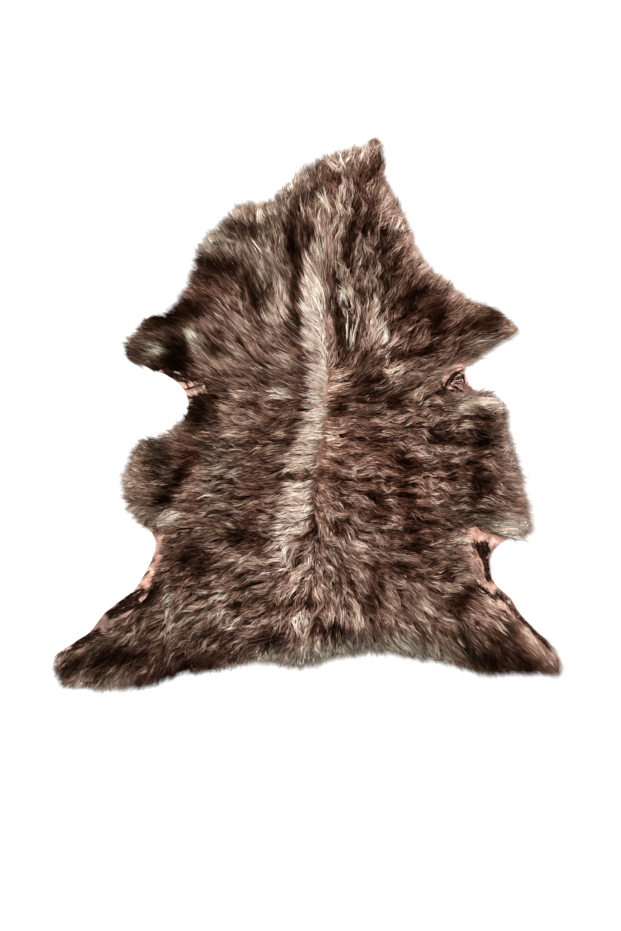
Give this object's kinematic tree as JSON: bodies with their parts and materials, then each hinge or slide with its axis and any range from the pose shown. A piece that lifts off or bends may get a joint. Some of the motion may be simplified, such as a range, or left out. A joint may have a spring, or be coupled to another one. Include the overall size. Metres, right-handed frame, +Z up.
{
  "type": "sheepskin",
  "caption": "Flat sheepskin rug with brown wool, a cream stripe down the spine, and the neck, leg and belly flaps left on the cut outline.",
  "frame": {"origin": "middle of the bounding box at the underside, on the surface that the pelt lies on", "axes": "+Z up out of the wool, +Y along the spine towards the neck, +X to the right as seen from above"},
  "size_m": [0.9194, 1.004, 0.0377],
  "materials": {
    "wool": "matte brown wool with a cream stripe along the spine"
  },
  "bodies": {
    "root": {"sheepskin": "wool"}
  },
  "joints": []
}
